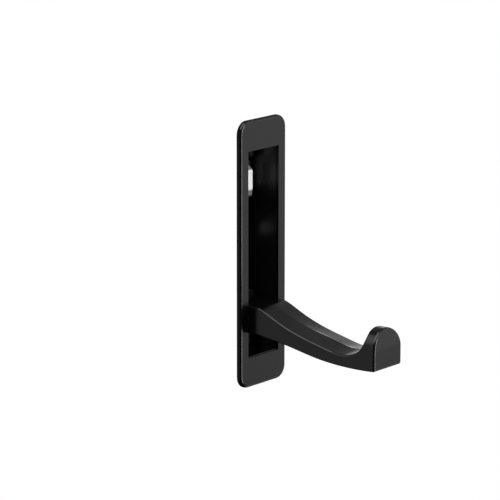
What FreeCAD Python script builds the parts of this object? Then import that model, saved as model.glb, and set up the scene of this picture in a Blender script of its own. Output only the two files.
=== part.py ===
# Folding wall hook, let into a panel: a face plate with a long slot, a shallow housing behind
# it, and a cast hook that swings up through the slot and lies inside.
# Millimetres, +Z up. The wall is behind (+Y) and the hook points forward (-Y).
# The origin is the middle of the two fixing holes, on the back of the housing.

import FreeCAD, Part
import math
import os

V = FreeCAD.Vector

# Hook. Heights are measured from the pivot, forward places from the plate's front face.
hook_width = 18.0
hook_reach = 63.3
lobe_thickness = 5.5
lobe_rise = 4.75
lobe_arch_rise = 8.6
lobe_front_lean = 1.25
lobe_back_lean = 0.7
hub_rise = 5.4
toe_drop = 11.45
heel_drop = 6.0
crown_rise = 1.3
crown_round = 4.0
hook_edge_round = 0.8
scoop_start = 0.6
scoop_lip = 0.3
scoop_end = 0.2
scoop_end_height = 1.6
lobe_edge_round = 1.0

# Arm curves: place as a share of the arm's length, height above the pivot. In the top curve the
# third number says how much of the crown's rise the ridge has there.
arm_top_curve = [
    (0.08, 5.2, 0.25),
    (0.216, 1.85, 0.45),
    (0.45, -2.95, 0.8),
    (0.66, -5.8, 1.0),
    (0.827, -7.0, 0.75),
    (0.955, -4.2, 0.2),
]
arm_under_curve = [
    (0.85, -11.9),
    (0.59, -10.75),
    (0.33, -8.1),
    (0.07, -6.3),
]

# Depths. Every depth is measured back from the plate's front face.
plate_thickness = 2.0
slot_lip = 1.0
recess_depth = 14.1
back_wall = 1.2
total_depth = recess_depth + back_wall

# Pivot
pin_radius = 2.0
pin_slack = 0.01
running_gap = 0.05
pin_clearance = 0.3
bush_wall = 0.85
bush_length = 6.0
bush_flange = 4.3
bush_flange_thickness = 0.3
bush_chamfer = 0.1
press_gap = 0.01
pivot_boss_radius = 4.4
pivot_boss_stand = 0.6
pin_head_radius = 2.5
pin_head_thickness = 0.9
pin_head_gap = 0.1
pin_edge = 0.3
clip_thickness = 0.6
clip_radius = 3.4
clip_finger = 1.2
clip_mouth = 3.0
groove_depth = 0.5
groove_gap = 0.03
pin_land = 0.6
fold_angle = 92.5
pivot_depth = plate_thickness + pin_head_radius + pin_head_gap

# Face plate. Its slot takes the folded hook, with a little room at the tip and below the pivot.
slot_side_gap = 0.6
slot_tip_gap = 0.9
slot_below_pivot = 16.4
plate_side = 4.9
plate_end = 12.4
plate_corner = 5.3
plate_edge_round = 1.2
pocket_gap = 0.1
slot_above_pivot = pivot_depth + hook_reach + slot_tip_gap
slot_width = hook_width + 2 * slot_side_gap
slot_height = slot_above_pivot + slot_below_pivot
plate_width = slot_width + 2 * plate_side
plate_height = slot_height + 2 * plate_end

# Heights that everything else hangs on
pivot_height = slot_below_pivot - slot_height / 2
lobe_back = hook_reach - lobe_thickness
lobe_top = pivot_height + lobe_rise
arch_foot = lobe_top - lobe_arch_rise
folded_lobe_height = pivot_height + pivot_depth + lobe_back

# Housing
housing_step = 0.2
side_wall = 1.2
flange_side_inset = 1.9
flange_end_inset = 3.5
flange_corner = 3.0
housing_corner = 1.5
lug_overhang = 0.4
lug_depth = 6.0
lug_web = 1.0
fixing_inset = 4.6
fixing_hole = 4.5
fixing_sink = 6.4
fixing_sink_depth = 0.7
middle_fixing_rise = 31.2
inner_half_width = slot_width / 2 - housing_step
inner_half_height = slot_height / 2 - housing_step
outer_half_width = inner_half_width + side_wall
outer_half_height = inner_half_height + side_wall
flange_width = plate_width - 2 * flange_side_inset
flange_height = plate_height - 2 * flange_end_inset
lug_width = 2 * (outer_half_width + lug_overhang)
pivot_boss_width = 2 * (outer_half_width + pivot_boss_stand)
fixing_spacing = slot_height - 2 * fixing_inset
middle_fixing_height = pivot_height + middle_fixing_rise

# Catch spring. Its heights are measured down from the folded lobe, its stands from the back wall.
spring_width = 7.8
spring_side_gap = 1.4
spring_thickness = 0.4
spring_bend = 0.8
spring_corner = 1.5
spring_nose_stand = 5.1
spring_lip_stand = 4.7
spring_tip_stand = 1.6
spring_tip_drop = 1.6
spring_front_top_drop = 4.2
spring_front_low_drop = 11.7
spring_ledge_drop = 15.3
spring_base_top_drop = 0.7
spring_base_low_drop = 13.4
rivet_drop = 8.2
rivet_radius = 1.2
rivet_head_radius = 2.3
rivet_head_thickness = 0.8
rivet_tail_radius = 2.0
rivet_tail_depth = 0.6
rivet_height = folded_lobe_height - rivet_drop

# Stop pad for the open hook
stop_pad_thickness = 1.8
stop_pad_gap = 0.4
stop_pad_edge_gap = 0.2
stop_pad_end_gap = 0.6
stop_pad_above_pivot = 7.2
stop_pad_corner = 1.5
stop_pad_notch = 4.4
hub_back = recess_depth - stop_pad_thickness - stop_pad_gap - pivot_depth

# Buffers for the folded hook. Their faces lie where the lobe's top edge arrives.
buffer_radius = 1.6
buffer_edge_round = 0.5
buffer_inset = 2.8
buffer_end = 3.8
buffer_x = hook_width / 2 - buffer_inset
buffer_height = inner_half_height - buffer_end
past_upright = math.radians(fold_angle - 90)
landing_share = (buffer_x - buffer_radius) / (hook_width / 2)
landing_rise = lobe_rise - lobe_arch_rise * (1 - math.sqrt(1 - landing_share ** 2))
landing_reach = pivot_depth + hook_reach - lobe_front_lean - lobe_edge_round
landing_swing = landing_rise * math.cos(past_upright) + landing_reach * math.sin(past_upright)
buffer_front = pivot_depth + landing_swing

# Screws that hold the plate to the housing
screw_inset = 4.0
screw_radius = 1.25
screw_gap = 0.02
screw_passage_gap = 0.15
screw_bite = 3.0
screw_end_gap = 0.2
screw_head_radius = 2.2
screw_head_thickness = 1.4
screw_head_round = 0.5
screw_recess_radius = 0.9
screw_recess_width = 0.5
screw_recess_depth = 0.8
boss_radius = 2.4
boss_gap = 0.1
screw_spacing_x = lug_width - 2 * screw_inset
screw_spacing_z = flange_height - 2 * screw_inset
bush_outer = pin_radius + running_gap + bush_wall


def back(depth):
    """Y of a plane that lies this deep behind the plate's front face."""
    return depth - total_depth


def block(x0, x1, d0, d1, z0, z1):
    """Box between two widths, two depths and two heights."""
    return Part.makeBox(x1 - x0, d1 - d0, z1 - z0, V(x0, back(d0), z0))


def rounded_block(width, height, radius, d0, d1, centre_z=0.0):
    """Upright slab with rounded corners, seen from the front."""
    slab = block(-width / 2, width / 2, d0, d1, centre_z - height / 2, centre_z + height / 2)
    corners = [e for e in slab.Edges if along(e, 1)]
    return slab.makeFillet(radius, corners)


def along(edge, axis):
    """True for a straight edge that runs along the given axis."""
    a = edge.Vertexes[0].Point
    b = edge.Vertexes[-1].Point
    d = [abs(b.x - a.x), abs(b.y - a.y), abs(b.z - a.z)]
    length = d.pop(axis)
    return length > 1e-6 and max(d) < 1e-6


def solid(shape):
    """The one solid that a piece is made of."""
    return shape.Solids[0]


def rod_x(radius, x0, x1, depth, z):
    """Cylinder across the hook."""
    return Part.makeCylinder(radius, x1 - x0, V(x0, back(depth), z), V(1, 0, 0))


def rod_y(radius, d0, d1, x, z):
    """Cylinder that runs straight back."""
    return Part.makeCylinder(radius, d1 - d0, V(x, back(d0), z), V(0, 1, 0))


def cone_y(r0, r1, d0, d1, x, z):
    """Cone that runs straight back."""
    return Part.makeCone(r0, r1, d1 - d0, V(x, back(d0), z), V(0, 1, 0))


def side_point(x, forward, z):
    """Point given by its distance in front of the plate's face."""
    return V(x, back(-forward), z)


def spline(points, start=None, end=None):
    """Smooth curve through a few points."""
    curve = Part.BSplineCurve()
    if start is not None:
        curve.interpolate(points, InitialTangent=start, FinalTangent=end)
    else:
        curve.interpolate(points)
    return curve.toShape()


def screw_places():
    """Places of the four plate screws."""
    x = screw_spacing_x / 2
    z = screw_spacing_z / 2
    return [(-x, z), (x, z), (-x, -z), (x, -z)]


def face_plate():
    """Cast plate: rounded front edge, long slot, shallow pocket behind, four screw bosses."""
    body = rounded_block(plate_width, plate_height, plate_corner, 0, plate_thickness)
    front = back(0) + 1e-4
    rim = [e for e in body.Edges if e.BoundBox.YMax < front]
    body = body.makeFillet(plate_edge_round, rim)
    pocket = rounded_block(
        flange_width + 2 * pocket_gap,
        flange_height + 2 * pocket_gap,
        flange_corner + pocket_gap,
        slot_lip,
        plate_thickness + 1,
    )
    body = body.cut(pocket)
    half_w = slot_width / 2
    half_h = slot_height / 2
    body = body.cut(block(-half_w, half_w, -1, plate_thickness + 1, -half_h, half_h))
    boss_end = lug_depth - lug_web - boss_gap
    for x, z in screw_places():
        boss = rod_y(boss_radius, slot_lip, boss_end, x, z)
        hole_start = lug_depth - lug_web - screw_bite - screw_end_gap
        hole = rod_y(screw_radius + screw_gap, hole_start, boss_end + 1, x, z)
        body = body.fuse(boss).cut(hole)
    return solid(body.removeSplitter())


def recess_housing():
    """Open-fronted box with a flange let into the plate, two end lugs and two pivot bosses."""
    box = rounded_block(2 * outer_half_width, 2 * outer_half_height, housing_corner, slot_lip, total_depth)
    flange = rounded_block(flange_width, flange_height, flange_corner, slot_lip, plate_thickness)
    body = box.fuse(flange)
    lugs = rounded_block(lug_width, flange_height, flange_corner, slot_lip, lug_depth)
    body = body.fuse(lugs)
    half_boss = pivot_boss_width / 2
    boss = rod_x(pivot_boss_radius, -half_boss, half_boss, pivot_depth, pivot_height)
    half_z = outer_half_height
    behind_plate = block(-half_boss, half_boss, plate_thickness, total_depth, -half_z, half_z)
    body = body.fuse(boss.common(behind_plate))
    # The lugs are hollowed beside the box, so that only the two ends stay thick.
    for side in (-1, 1):
        x0 = min(side * outer_half_width, side * (lug_width / 2 + 1))
        x1 = max(side * outer_half_width, side * (lug_width / 2 + 1))
        waste = block(x0, x1, plate_thickness, lug_depth + 1, -outer_half_height, outer_half_height)
        keep = rod_x(pivot_boss_radius, -half_boss, half_boss, pivot_depth, pivot_height)
        body = body.cut(waste.cut(keep))
    cavity = block(
        -inner_half_width, inner_half_width, slot_lip - 1, recess_depth, -inner_half_height, inner_half_height
    )
    body = body.cut(cavity)
    body = body.cut(rod_x(pin_radius, -half_boss - 1, half_boss + 1, pivot_depth, pivot_height))
    for x, z in screw_places():
        body = body.cut(rod_y(boss_radius + boss_gap, slot_lip - 1, lug_depth - lug_web, x, z))
        body = body.cut(rod_y(screw_radius + screw_passage_gap, 0, lug_depth + 1, x, z))
    for z in (-fixing_spacing / 2, middle_fixing_height, fixing_spacing / 2):
        body = body.cut(rod_y(fixing_hole / 2, recess_depth - 1, total_depth + 1, 0, z))
        sink_end = recess_depth + fixing_sink_depth
        body = body.cut(cone_y(fixing_sink / 2, fixing_hole / 2, recess_depth, sink_end, 0, z))
    body = body.cut(rod_y(rivet_radius, recess_depth - 1, total_depth + 1, 0, rivet_height))
    tail_start = total_depth - rivet_tail_depth
    body = body.cut(cone_y(rivet_radius, rivet_tail_radius, tail_start, total_depth, 0, rivet_height))
    return solid(body.removeSplitter())


def scoop_section(x):
    """Side outline of the space above the arm; it drops from the middle ridge to each side."""
    lift = crown_rise * (1 - abs(x) / (hook_width / 2))
    curve = [side_point(x, scoop_start - pivot_depth, pivot_height + hub_rise + scoop_lip + 0.1 * lift)]
    for share, height, ridge_share in arm_top_curve:
        curve.append(side_point(x, share * lobe_back, pivot_height + height + ridge_share * lift))
    curve.append(side_point(x, lobe_back - scoop_end, pivot_height + scoop_end_height))
    brow_back = side_point(x, lobe_back - scoop_end - lobe_back_lean, lobe_top)
    lean = brow_back - curve[-1]
    top_front = brow_back + lean
    top_back = V(x, curve[0].y, top_front.z)
    edges = [
        spline(curve),
        Part.makeLine(curve[-1], top_front),
        Part.makeLine(top_front, top_back),
        Part.makeLine(top_back, curve[0]),
    ]
    return Part.Wire(edges)


def hook_blank():
    """Side outline of the hook before the arm's top is scooped out, over the full width."""
    x = -hook_width / 2
    hub_end = -(pivot_depth + hub_back)
    brow = side_point(x, hook_reach - lobe_front_lean, lobe_top)
    brow_low = side_point(x, hook_reach - lobe_front_lean / 4, lobe_top - lobe_arch_rise / 2)
    chin = side_point(x, hook_reach, arch_foot)
    toe = side_point(x, hook_reach, pivot_height - toe_drop)
    heel_low = pivot_height - heel_drop
    under = [toe]
    for share, height in arm_under_curve:
        under.append(side_point(x, share * lobe_back, pivot_height + height))
    under.append(side_point(x, -pivot_depth, heel_low))
    heel_foot = side_point(x, hub_end, heel_low)
    heel_top = side_point(x, hub_end, pivot_height)
    hub_mid = side_point(
        x,
        -pivot_depth - hub_back * math.cos(math.radians(30)),
        pivot_height + hub_back * math.sin(math.radians(30)),
    )
    hub_top_place = -pivot_depth - math.sqrt(hub_back ** 2 - hub_rise ** 2)
    hub_top = side_point(x, hub_top_place, pivot_height + hub_rise)
    edges = [
        Part.makeLine(hub_top, brow),
        Part.Arc(brow, brow_low, chin).toShape(),
        Part.makeLine(chin, toe),
        spline(under),
        Part.makeLine(under[-1], heel_foot),
        Part.makeLine(heel_foot, heel_top),
        Part.Arc(heel_top, hub_mid, hub_top).toShape(),
    ]
    return Part.Face(Part.Wire(edges)).extrude(V(hook_width, 0, 0))


def lobe_waste():
    """Stuff outside the lobe's arch: straight sides below, half an ellipse on top."""
    half = hook_width / 2
    middle = V(0, back(-hook_reach) - 1, arch_foot)
    across = V(half, 0, 0)
    upward = V(0, 0, lobe_arch_rise)
    longer, shorter = (across, upward) if half > lobe_arch_rise else (upward, across)
    ellipse = Part.Ellipse(middle + longer, middle + shorter, middle)
    inside = Part.Face(Part.Wire(ellipse.toShape())).extrude(V(0, 4 * lobe_thickness, 0))
    rear = -hook_reach + 2 * lobe_thickness
    over = block(-half - 1, half + 1, -hook_reach - 0.9, rear, arch_foot, lobe_top + 1)
    return over.cut(inside)


def reach_of(edge):
    """Nearest and farthest distance of an edge in front of the plate's face."""
    box = edge.BoundBox
    return -(box.YMax + total_depth), -(box.YMin + total_depth)


def is_tangent_line(edge):
    """True for the level line where the lobe's arch starts, which stays smooth."""
    box = edge.BoundBox
    return box.ZLength < 1e-3 and abs(box.ZMin - arch_foot) < 0.01


def front_edges(shape):
    """Edges round the lobe's front face."""
    limit = hook_reach - lobe_front_lean - 0.1
    return [e for e in shape.Edges if reach_of(e)[0] > limit and not is_tangent_line(e)]


def ridge_edges(shape):
    """The crest along the middle of the arm."""
    found = []
    for edge in shape.Edges:
        box = edge.BoundBox
        if edge.Length > lobe_back / 2 and max(abs(box.XMin), abs(box.XMax)) < 1e-3:
            found.append(edge)
    return found


def side_edges(shape):
    """Edges of the two flat sides, and the rear edge of the lobe's arch."""
    found = []
    for edge in shape.Edges:
        box = edge.BoundBox
        low, high = reach_of(edge)
        on_side = abs(abs(box.XMin) - hook_width / 2) < 1e-3 and box.XLength < 1e-3
        above = box.ZMax > arch_foot + 0.1
        on_lobe = above and low > lobe_back - lobe_thickness and high < lobe_back + 0.05
        if on_side and not is_tangent_line(edge):
            found.append(edge)
        elif on_lobe and box.XLength > 0.3 and box.ZLength > 0.5:
            found.append(edge)
    return found


def hook():
    """Cast hook: crowned arm, arched upturned lobe, and the hub with its heel and stepped bore."""
    half = hook_width / 2
    reach = half + 1
    scoop = Part.makeLoft([scoop_section(-reach), scoop_section(0.0), scoop_section(reach)], True, True)
    body = solid(hook_blank().cut(scoop))
    body = solid(body.cut(lobe_waste()))
    body = solid(body.makeFillet(crown_round, ridge_edges(body)))
    body = solid(body.makeFillet(lobe_edge_round, front_edges(body)))
    body = solid(body.makeFillet(hook_edge_round, side_edges(body)))
    body = body.cut(rod_x(pin_radius + pin_clearance, -half - 1, half + 1, pivot_depth, pivot_height))
    for x0, x1 in ((-half - 1, -half + bush_length), (half - bush_length, half + 1)):
        body = body.cut(rod_x(bush_outer + press_gap, x0, x1, pivot_depth, pivot_height))
    return solid(body)


def hub_bush(side):
    """Flanged nylon bush pressed into one end of the hub; its flange rubs on the housing."""
    half = hook_width / 2
    inner = half - bush_length
    outer = half + bush_flange_thickness
    sleeve = rod_x(bush_outer, inner, half, pivot_depth, pivot_height)
    flange = rod_x(bush_flange, half, outer, pivot_depth, pivot_height)
    hole = rod_x(pin_radius + running_gap, inner - 1, outer + 1, pivot_depth, pivot_height)
    bush = sleeve.fuse(flange).cut(hole).removeSplitter()
    at_end = [e for e in bush.Edges if abs(e.BoundBox.XMin - outer) < 1e-3]
    rim = [e for e in at_end if e.BoundBox.ZLength > 2 * bush_outer]
    bush = bush.makeChamfer(bush_chamfer, rim)
    if side < 0:
        bush = bush.mirror(V(0, 0, 0), V(1, 0, 0))
    return solid(bush)


def pivot_pin():
    """Steel pin with a flat head on the left and a clip groove on the right."""
    half = pivot_boss_width / 2
    end = half + clip_thickness + 2 * groove_gap + pin_land
    pin = rod_x(pin_radius - pin_slack, -half, end, pivot_depth, pivot_height)
    tip = [e for e in pin.Edges if abs(e.BoundBox.XMin - end) < 1e-3 and e.BoundBox.XLength < 1e-3]
    pin = pin.makeChamfer(pin_edge, tip)
    head = rod_x(pin_head_radius, -half - pin_head_thickness, -half, pivot_depth, pivot_height)
    rim = [e for e in head.Edges if e.BoundBox.XMax < -half - pin_head_thickness + 1e-3]
    pin = pin.fuse(head.makeFillet(pin_edge, rim))
    groove_end = half + clip_thickness + 2 * groove_gap
    ring = rod_x(pin_radius + 1, half, groove_end, pivot_depth, pivot_height)
    core = rod_x(pin_radius - groove_depth, half, groove_end, pivot_depth, pivot_height)
    return solid(pin.cut(ring.cut(core)).removeSplitter())


def pin_clip():
    """Spring-steel retaining clip in the pin's groove: a ring with three fingers and a mouth."""
    x0 = pivot_boss_width / 2 + groove_gap
    x1 = x0 + clip_thickness
    seat = pin_radius - groove_depth + groove_gap
    clear = pin_radius + pin_clearance
    ring = rod_x(clip_radius, x0, x1, pivot_depth, pivot_height)
    ring = ring.cut(rod_x(clear, x0 - 1, x1 + 1, pivot_depth, pivot_height))
    finger = Part.makeBox(clip_thickness, clear + 0.2, clip_finger, V(x0, 0, -clip_finger / 2))
    for angle in (0, 100, -100):
        turned = finger.copy()
        turned.rotate(V(0, 0, 0), V(1, 0, 0), angle)
        turned.translate(V(0, back(pivot_depth), pivot_height))
        ring = ring.fuse(turned)
    ring = ring.cut(rod_x(seat, x0 - 1, x1 + 1, pivot_depth, pivot_height))
    low = pivot_height - clip_mouth / 2
    high = pivot_height + clip_mouth / 2
    ring = ring.cut(block(x0 - 1, x1 + 1, 0, pivot_depth - clip_finger, low, high))
    low = pivot_height - clip_radius - 1
    high = pivot_height + clip_radius + 1
    ring = ring.cut(block(x0 - 1, x1 + 1, 0, plate_thickness + pin_head_gap, low, high))
    return solid(ring.removeSplitter())


def bent_path(points, radius):
    """Line through the points with a round bend at each inner point."""
    edges = []
    last = points[0]
    for i in range(1, len(points) - 1):
        before = (points[i - 1] - points[i]).normalize()
        after = (points[i + 1] - points[i]).normalize()
        half_angle = before.getAngle(after) / 2
        trim = radius / math.tan(half_angle)
        middle = (before + after).normalize()
        start = points[i] + before * trim
        end = points[i] + after * trim
        nearest = points[i] + middle * (radius / math.sin(half_angle) - radius)
        edges.append(Part.makeLine(last, start))
        edges.append(Part.Arc(start, nearest, end).toShape())
        last = end
    edges.append(Part.makeLine(last, points[-1]))
    return Part.Wire(edges)


def catch_spring():
    """Bent steel leaf: wide base on the back wall, and a narrow tongue that turns up before it."""
    x = -spring_width / 2
    top = folded_lobe_height
    foot = -recess_depth
    nose = foot + spring_nose_stand - spring_thickness
    lip = foot + spring_lip_stand - spring_thickness
    ledge = top - spring_ledge_drop + spring_thickness
    path = bent_path(
        [
            side_point(x, foot + spring_tip_stand, top - spring_tip_drop),
            side_point(x, nose, top - spring_front_top_drop),
            side_point(x, nose, top - spring_front_low_drop),
            side_point(x, lip, ledge),
            side_point(x, foot + spring_thickness, ledge),
            side_point(x, foot + spring_thickness, top - spring_base_low_drop + spring_bend),
        ],
        spring_bend,
    )
    outer = path.makeOffset2D(spring_thickness, 0, False, True)
    if outer.BoundBox.ZMin > path.BoundBox.ZMin - spring_thickness / 2:
        outer = path.makeOffset2D(-spring_thickness, 0, False, True)
    a = [path.OrderedVertexes[0].Point, path.OrderedVertexes[-1].Point]
    b = [outer.OrderedVertexes[0].Point, outer.OrderedVertexes[-1].Point]
    if (a[0] - b[0]).Length > (a[0] - b[1]).Length:
        b.reverse()
    ends = [Part.makeLine(a[0], b[0]), Part.makeLine(a[1], b[1])]
    outline = Part.Wire(Part.__sortEdges__(path.Edges + outer.Edges + ends))
    leaf = Part.Face(outline).extrude(V(spring_width, 0, 0))
    half = inner_half_width - spring_side_gap
    seat = recess_depth - spring_thickness
    base = block(-half, half, seat, recess_depth, top - spring_base_low_drop, top - spring_base_top_drop)
    base = base.makeFillet(spring_corner, [e for e in base.Edges if along(e, 1)])
    leaf = leaf.fuse(base).removeSplitter()
    leaf = leaf.cut(rod_y(rivet_radius, recess_depth - 1, total_depth, 0, rivet_height))
    return solid(leaf)


def catch_rivet():
    """Rivet through the spring's foot: round head inside, flush countersunk tail behind."""
    seat = recess_depth - spring_thickness
    r = rivet_radius - groove_gap
    tail_start = total_depth - rivet_tail_depth
    shank = rod_y(r, seat - 0.1, tail_start, 0, rivet_height)
    head = rod_y(rivet_head_radius, seat - rivet_head_thickness, seat, 0, rivet_height)
    rim = [e for e in head.Edges if e.BoundBox.YMax < back(seat - rivet_head_thickness) + 1e-3]
    head = head.makeFillet(rivet_head_thickness - 0.2, rim)
    tail = cone_y(r, rivet_tail_radius - groove_gap, tail_start, total_depth, 0, rivet_height)
    return solid(shank.fuse(head).fuse(tail).removeSplitter())


def open_stop_pad():
    """Rubber pad on the back wall, where the hook's heel rests; notched round the lower fixing."""
    half = inner_half_width - stop_pad_edge_gap
    front = recess_depth - stop_pad_thickness
    low = -inner_half_height + stop_pad_end_gap
    high = pivot_height + stop_pad_above_pivot
    pad = block(-half, half, front, recess_depth, low, high)
    corners = [e for e in pad.Edges if along(e, 1)]
    pad = pad.makeFillet(stop_pad_corner, corners)
    fixing = -fixing_spacing / 2
    pad = pad.cut(rod_y(stop_pad_notch, front - 1, recess_depth + 1, 0, fixing))
    notch = block(-stop_pad_notch, stop_pad_notch, front - 1, recess_depth + 1, low - 1, fixing)
    return solid(pad.cut(notch))


def fold_buffer(side):
    """Rubber button on the back wall that the folded lobe lands on."""
    button = rod_y(buffer_radius, buffer_front, recess_depth, side * buffer_x, buffer_height)
    rim = [e for e in button.Edges if e.BoundBox.YMax < back(buffer_front) + 1e-3]
    return solid(button.makeFillet(buffer_edge_round, rim))


def plate_screw(x, z):
    """Small pan-head screw, from behind through the housing's lug into a boss of the plate."""
    head_end = lug_depth + screw_head_thickness
    shank = rod_y(screw_radius, lug_depth - lug_web - screw_bite, lug_depth, x, z)
    head = rod_y(screw_head_radius, lug_depth, head_end, x, z)
    rim = [e for e in head.Edges if e.BoundBox.YMin > back(head_end) - 1e-3]
    head = head.makeFillet(screw_head_round, rim)
    screw = shank.fuse(head)
    reach = screw_recess_radius
    slim = screw_recess_width / 2
    start = head_end - screw_recess_depth
    for w, h in ((reach, slim), (slim, reach)):
        screw = screw.cut(block(x - w, x + w, start, head_end + 1, z - h, z + h))
    return solid(screw.removeSplitter())


def pieces():
    """Every piece by its name."""
    made = {
        "face_plate": face_plate(),
        "recess_housing": recess_housing(),
        "hook": hook(),
        "hub_bush_left": hub_bush(-1),
        "hub_bush_right": hub_bush(1),
        "pivot_pin": pivot_pin(),
        "pin_clip": pin_clip(),
        "catch_spring": catch_spring(),
        "catch_rivet": catch_rivet(),
        "open_stop_pad": open_stop_pad(),
        "fold_buffer_left": fold_buffer(-1),
        "fold_buffer_right": fold_buffer(1),
    }
    for x, z in screw_places():
        end = "top" if z > 0 else "low"
        side = "left" if x < 0 else "right"
        made["plate_screw_" + end + "_" + side] = plate_screw(x, z)
    return made


os.makedirs("parts", exist_ok=True)
for name, shape in pieces().items():
    shape.exportStep("parts/" + name + ".step")
    print(name, "valid" if shape.isValid() else "NOT VALID", round(shape.Volume, 1))
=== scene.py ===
import bpy
import math
from mathutils import Matrix, Vector


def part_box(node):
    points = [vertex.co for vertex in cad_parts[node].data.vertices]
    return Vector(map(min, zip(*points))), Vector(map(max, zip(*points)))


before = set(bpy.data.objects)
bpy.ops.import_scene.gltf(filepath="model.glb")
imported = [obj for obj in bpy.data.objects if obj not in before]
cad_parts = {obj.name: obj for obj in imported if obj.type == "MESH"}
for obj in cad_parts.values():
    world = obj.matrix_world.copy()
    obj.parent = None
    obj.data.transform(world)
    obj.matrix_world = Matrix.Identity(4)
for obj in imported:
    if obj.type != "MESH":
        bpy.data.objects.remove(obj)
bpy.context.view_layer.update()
bpy.ops.object.select_all(action="DESELECT")


# Recess housing. A die-cast open box with a flange and two screw lugs, coated black with a dull
# sheen. It lies in the cut-out behind the plate and is screwed to the board through its back wall.


class Shade:
    """A value in a material. Python's own operators on it add Math nodes to that material."""

    def __init__(self, tree, socket):
        self.tree = tree
        self.socket = socket

    def node(self, kind, settings=None, values=None, output=0):
        """Adds a node, sets its settings and then its sockets, and gives one of its outputs."""
        made = self.tree.nodes.new(kind)
        for name, value in (settings or {}).items():
            setattr(made, name, value)
        for name, value in (values or {}).items():
            if isinstance(value, Shade):
                self.tree.links.new(value.socket, made.inputs[name])
            else:
                made.inputs[name].default_value = value
        return Shade(self.tree, made.outputs[output])

    def math(self, operation, first, second):
        """One Math node on two values."""
        return self.node("ShaderNodeMath", {"operation": operation}, {0: first, 1: second})

    def __add__(self, other):
        return self.math("ADD", self, other)

    __radd__ = __add__

    def __rsub__(self, other):
        return self.math("SUBTRACT", other, self)

    def __mul__(self, other):
        return self.math("MULTIPLY", self, other)

    __rmul__ = __mul__

    def noise(self, size, detail=2.0, stretch=(1, 1, 1)):
        """Noise of about that grain size in metres, from 0 to 1, on the piece's own coordinates."""
        place = self.node("ShaderNodeTexCoord", output="Object")
        scaled = self.node("ShaderNodeMapping", values={"Vector": place, "Scale": stretch})
        values = {"Vector": scaled, "Scale": 1 / size, "Detail": detail}
        return self.node("ShaderNodeTexNoise", values=values)

    def between(self, low, high):
        """This value, which runs from 0 to 1, laid between two others."""
        return self * (high - low) + low

    def tint(self, dark, light):
        """A colour between two, as this value runs from 0 to 1."""
        values = {"Factor": self, 6: (*dark, 1), 7: (*light, 1)}
        return self.node("ShaderNodeMix", {"data_type": "RGBA"}, values, output=2)

    def bump(self, height):
        """A bump whose full height is given in metres."""
        values = {"Height": self, "Distance": height, "Strength": 1.0}
        return self.node("ShaderNodeBump", values=values)

    def show(self, kind):
        """Links this shader to a new output node of that kind."""
        output = self.tree.nodes.new(kind)
        self.tree.links.new(self.socket, output.inputs["Surface"])


def new_material(name):
    """An empty material and the Shade that its nodes start from."""
    made = bpy.data.materials.new(name)
    made.use_nodes = True
    return made, Shade(made.node_tree, None)


def finish_material(made, **sockets):
    """Sets the material's one shader: numbers on its own sockets, varying values by link."""
    shader = made.node_tree.nodes["Principled BSDF"]
    for name, value in sockets.items():
        socket = shader.inputs[name.replace("_", " ")]
        if isinstance(value, Shade):
            made.node_tree.links.new(value.socket, socket)
        else:
            socket.default_value = value


def dress(node, material):
    """Gives a CAD piece its material."""
    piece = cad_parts[node]
    piece.data.materials.clear()
    piece.data.materials.append(material)


housing_coat, start = new_material("housing_coat")
grain = start.noise(0.0007, 3.0)
patches = start.noise(0.012)
finish_material(
    housing_coat,
    Base_Color=patches.tint((0.001, 0.001, 0.001), (0.0017, 0.0017, 0.0018)),
    Roughness=(grain * 0.5 + patches * 0.5).between(0.28, 0.38),
    IOR=1.8,
    Normal=grain.bump(0.000008),
)
dress("recess_housing", housing_coat)


# Stop pad and buffers. Moulded black rubber, glued to the back wall. The pad takes the heel of the
# open hook and the two buttons take the lobe of the folded one.

rubber, start = new_material("rubber")
speckle = start.noise(0.0004, 3.0)
bloom = start.noise(0.006)
finish_material(
    rubber,
    Base_Color=bloom.tint((0.006, 0.006, 0.006), (0.013, 0.013, 0.013)),
    Roughness=speckle.between(0.62, 0.8),
    Normal=speckle.bump(0.000012),
)
for name in ("open_stop_pad", "fold_buffer_left", "fold_buffer_right"):
    dress(name, rubber)


# Catch spring and its rivet. The spring is a strip of bright rolled steel, bent so that the folded
# lobe snaps past its tip. A round-headed rivet holds its base to the back wall. The steel is bright
# above the bend; at the bend and below it its colour is painted darker, as painted shade.

spring_steel, start = new_material("spring_steel")
rolling = start.noise(0.0004, 4.0, stretch=(1, 0.05, 0.05))
smudge = start.noise(0.003)
place = start.node("ShaderNodeTexCoord", output="Object")
height = start.node("ShaderNodeSeparateXYZ", values={"Vector": place}, output="Z")
# Painted shade: below the bend the spring's colour is painted down to about a quarter of its
# brightness.
bend_ends = {"From Min": 0.0236, "From Max": 0.0244}
painted_shade_step = start.node("ShaderNodeMapRange", values={"Value": height, **bend_ends})
finish_material(
    spring_steel,
    Base_Color=(painted_shade_step.between(0.26, 1) * smudge.between(0.94, 1)).tint((0, 0, 0), (1, 1, 0.99)),
    Metallic=1.0,
    Roughness=(rolling * 0.6 + smudge * 0.4).between(0.55, 0.65),
    Normal=rolling.bump(0.000003),
)
dress("catch_spring", spring_steel)

rivet_steel, start = new_material("rivet_steel")
hammered = start.noise(0.0006, 2.0)
finish_material(
    rivet_steel,
    Base_Color=hammered.tint((0.55, 0.55, 0.53), (0.68, 0.68, 0.66)),
    Metallic=1.0,
    Roughness=hammered.between(0.3, 0.45),
    Normal=hammered.bump(0.00001),
)
dress("catch_rivet", rivet_steel)


# Face plate. One casting with a rounded front edge and a long square-edged slot, coated black and
# smooth, with only a trace of unevenness in the coat. It covers the housing's flange.

plate_coat, start = new_material("plate_coat")
flow = start.noise(0.0022, 2.0)
peel = start.noise(0.0005, 2.0)
finish_material(
    plate_coat,
    Base_Color=flow.tint((0.0016, 0.0016, 0.0017), (0.0024, 0.0024, 0.0026)),
    Roughness=(peel * 0.5 + flow * 0.5).between(0.17, 0.23),
    Normal=(flow * 0.95 + peel * 0.05).bump(0.000003),
)
dress("face_plate", plate_coat)


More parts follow.
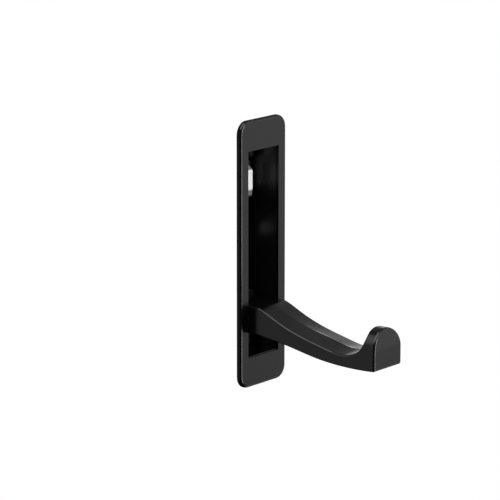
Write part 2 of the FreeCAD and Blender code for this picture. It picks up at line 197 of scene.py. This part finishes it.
# Plate screws. Four small zinc-plated screws with pan heads, from behind through the housing's
# lugs into the plate's bosses.

zinc, start = new_material("zinc")
crystal = start.noise(0.0005, 3.0)
finish_material(
    zinc,
    Base_Color=crystal.tint((0.5, 0.51, 0.52), (0.68, 0.69, 0.7)),
    Metallic=1.0,
    Roughness=crystal.between(0.26, 0.4),
    Normal=crystal.bump(0.000004),
)
for end in ("top", "low"):
    for side in ("left", "right"):
        dress("plate_screw_" + end + "_" + side, zinc)


# Hook. One casting: crowned arm, arched lobe and hub, coated like the plate. It turns on the pin
# and carries a bush in each end of its hub.

hook_coat, start = new_material("hook_coat")
flow = start.noise(0.0026, 2.0)
peel = start.noise(0.0005, 2.0)
finish_material(
    hook_coat,
    Base_Color=flow.tint((0.0016, 0.0016, 0.0017), (0.0024, 0.0024, 0.0026)),
    Roughness=(peel * 0.5 + flow * 0.5).between(0.17, 0.23),
    Normal=(flow * 0.95 + peel * 0.05).bump(0.0000015),
)
dress("hook", hook_coat)

nylon, start = new_material("nylon")
haze = start.noise(0.0008, 2.0)
finish_material(
    nylon,
    Base_Color=haze.tint((0.02, 0.02, 0.02), (0.032, 0.032, 0.03)),
    Roughness=haze.between(0.4, 0.55),
    Normal=haze.bump(0.000004),
)
for name in ("hub_bush_left", "hub_bush_right"):
    dress(name, nylon)


# Pivot pin and clip. A ground steel pin with a flat head, and the dark spring-steel clip that
# snaps into its groove outside the housing.

ground_steel, start = new_material("ground_steel")
lines = start.noise(0.0003, 3.0, stretch=(3, 1, 1))
finish_material(
    ground_steel,
    Base_Color=lines.tint((0.52, 0.52, 0.51), (0.66, 0.66, 0.65)),
    Metallic=1.0,
    Roughness=lines.between(0.22, 0.36),
    Normal=lines.bump(0.000003),
)
dress("pivot_pin", ground_steel)

clip_steel, start = new_material("clip_steel")
scale = start.noise(0.0006, 3.0)
finish_material(
    clip_steel,
    Base_Color=scale.tint((0.12, 0.11, 0.1), (0.24, 0.23, 0.22)),
    Metallic=1.0,
    Roughness=scale.between(0.34, 0.5),
    Normal=scale.bump(0.000004),
)
dress("pin_clip", clip_steel)


# Board. A white one at the plate's back hides the housing, as the board it is let into does. It
# shows only to the camera and only from its front. Close round the plate it has a dark line of
# shade, which only the plate's edge and the arm's root mirror.

plate_low, plate_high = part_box("face_plate")
plate_thickness = 0.002
cut_out_margin = 0.0015
shade_width = 0.0018
stage_half = 1.5


def framed_board(name, half_x, half_z):
    """An upright sheet at the plate's back, with the cut-out in its middle."""
    hole_x = plate_high[0] - cut_out_margin
    hole_z = plate_high[2] - 2 * cut_out_margin
    place = (0, plate_low[1] + plate_thickness, 0)
    bpy.ops.mesh.primitive_plane_add(size=2, location=place, rotation=(math.pi / 2, 0, 0))
    sheet = bpy.context.object
    sheet.name = name
    sheet.scale = (half_x, half_z, 1)
    bpy.ops.object.transform_apply(location=True, rotation=True, scale=True)
    bpy.ops.object.mode_set(mode="EDIT")
    for middle, normal in (
        ((-hole_x, 0, 0), (1, 0, 0)),
        ((hole_x, 0, 0), (1, 0, 0)),
        ((0, 0, -hole_z), (0, 0, 1)),
        ((0, 0, hole_z), (0, 0, 1)),
    ):
        bpy.ops.mesh.select_all(action="SELECT")
        bpy.ops.mesh.bisect(plane_co=middle, plane_no=normal)
    bpy.ops.mesh.select_all(action="DESELECT")
    bpy.ops.object.mode_set(mode="OBJECT")
    for face in sheet.data.polygons:
        face.select = abs(face.center.x) < hole_x and abs(face.center.z) < hole_z
    bpy.ops.object.mode_set(mode="EDIT")
    bpy.ops.mesh.delete(type="FACE")
    bpy.ops.object.mode_set(mode="OBJECT")
    return sheet


def clear_nodes(owner):
    """Empties a material or a world and gives the Shade that its own nodes start from."""
    owner.use_nodes = True
    owner.node_tree.nodes.clear()
    return Shade(owner.node_tree, None)


board = framed_board("board", stage_half, stage_half)
board_white = bpy.data.materials.new("board_white")
start = clear_nodes(board_white)
behind = start.node("ShaderNodeNewGeometry", output="Backfacing")
white = start.node("ShaderNodeEmission", values={"Color": (1, 1, 1, 1), "Strength": 1.0})
clear = start.node("ShaderNodeBsdfTransparent")
shown = start.node("ShaderNodeMixShader", values={0: behind, 1: white, 2: clear})
shown.show("ShaderNodeOutputMaterial")
board.data.materials.append(board_white)
board.visible_diffuse = False
board.visible_glossy = False
board.visible_transmission = False
board.visible_shadow = False

shade = framed_board("shade", plate_high[0] + shade_width, plate_high[2] + shade_width)
shade_grey, start = new_material("shade_grey")
finish_material(shade_grey, Base_Color=(0.03, 0.03, 0.03, 1), Roughness=0.8)
shade.data.materials.append(shade_grey)
shade.visible_camera = False
shade.visible_shadow = False


# Floor. A pale one, well below the object. The camera sees it nearly white, and the object's
# shadow stays on it.

floor_z = -0.45
white_part = 0.97
bpy.ops.mesh.primitive_plane_add(size=4 * stage_half, location=(0, 0, floor_z))
floor = bpy.context.object
floor.name = "floor"
bpy.ops.object.transform_apply(location=True, rotation=True, scale=True)
floor_pale = bpy.data.materials.new("floor_pale")
start = clear_nodes(floor_pale)
to_camera = start.node("ShaderNodeLightPath", output="Is Camera Ray")
lit = start.node("ShaderNodeBsdfDiffuse", values={"Color": (0.85, 0.85, 0.85, 1)})
white = start.node("ShaderNodeEmission", values={"Color": (1, 1, 1, 1), "Strength": 1.0})
shown = start.node("ShaderNodeMixShader", values={0: to_camera * white_part, 1: lit, 2: white})
shown.show("ShaderNodeOutputMaterial")
floor.data.materials.append(floor_pale)
floor.visible_glossy = False


# World. White for the camera. To the object it is a dim studio with soft panels of light, each
# given by its direction, its brightness, and the angles at which it starts to fade and is gone.

panels = [
    ((0.76, -0.62, 0.1), 0.77, 14, 30),
    ((0.78, -0.38, 0.5), 0.6, 6, 20),
    ((0.25, -0.72, 0.62), 0.9, 12, 32),
    ((0.75, -0.25, -0.6), 0.6, 12, 28),
    ((-0.8, 0.58, -0.15), 0.36, 18, 50),
    ((-0.42, 0.62, 0.66), 1.2, 3, 28),
    ((0.78, 0.62, -0.08), 0.78, 8, 28),
    ((0.62, 0.25, 0.74), 0.2, 12, 42),
]
surround = 0.03
world = bpy.data.worlds.new("studio")
bpy.context.scene.world = world
start = clear_nodes(world)
direction = start.node("ShaderNodeTexCoord", output="Generated")
level = surround
for place, strength, full, gone in panels:
    unit = Vector(place).normalized()
    facing = start.node(
        "ShaderNodeVectorMath", {"operation": "DOT_PRODUCT"}, {0: direction, 1: unit}, output="Value"
    )
    ends = {"From Min": math.cos(math.radians(gone)), "From Max": math.cos(math.radians(full))}
    values = {"Value": facing, "To Min": 0.0, "To Max": strength, **ends}
    level = level + start.node("ShaderNodeMapRange", {"interpolation_type": "SMOOTHSTEP"}, values)
to_camera = start.node("ShaderNodeLightPath", output="Is Camera Ray")
shown = to_camera + (1 - to_camera) * level
studio = start.node("ShaderNodeBackground", values={"Color": (1, 1, 1, 1), "Strength": shown})
studio.show("ShaderNodeOutputWorld")


# Lamps. Two soft boxes, one overhead and an upright strip in front, and a narrow bar behind on the
# right that draws the light along the arm's crest. Each has its direction, the way that its height
# runs, its width, its height and how bright its face is.

lamp_distance = 1.5
lamps = [
    ("overhead", (-0.3, -0.1, 0.95), (0, 1, 0), 1.7, 1.6, 2.6),
    ("strip", (0.36, -0.93, -0.1), (0, 0, 1), 0.4, 1.5, 8.0),
    ("bar", (0.8, 0.49, 0.37), (0, 0.6, -0.8), 0.11, 0.28, 3.6),
]
for name, place, way, width, height, bright in lamps:
    data = bpy.data.lights.new(name, "AREA")
    data.shape = "RECTANGLE"
    data.size = width
    data.size_y = height
    data.energy = bright * math.pi * width * height
    outward = Vector(place).normalized()
    across = Vector(way).cross(outward).normalized()
    along = outward.cross(across)
    lamp = bpy.data.objects.new(name, data)
    turn = Matrix((across, along, outward)).transposed().to_4x4()
    lamp.matrix_world = Matrix.Translation(outward * lamp_distance) @ turn
    bpy.context.scene.collection.objects.link(lamp)


# Camera. It stands on the left and a little above, and has a long lens. Its place was fitted to
# the edges of the plate and of its slot.

camera_azimuth = math.radians(-50.376)
camera_elevation = math.radians(12.883)
camera_distance = 1.16804
camera_aim = Vector((-0.00335, -0.01098, 0.0008))
camera_data = bpy.data.cameras.new("camera")
camera_data.lens = 208.0
camera_data.sensor_width = 36.0
camera = bpy.data.objects.new("camera", camera_data)
level_part = math.cos(camera_elevation)
outward = Vector(
    (
        math.sin(camera_azimuth) * level_part,
        -math.cos(camera_azimuth) * level_part,
        math.sin(camera_elevation),
    )
)
camera.rotation_mode = "QUATERNION"
camera.location = camera_aim + outward * camera_distance
camera.rotation_quaternion = (-outward).to_track_quat("-Z", "Y")
bpy.context.scene.collection.objects.link(camera)
bpy.context.scene.camera = camera
bpy.context.scene.view_settings.view_transform = "Standard"
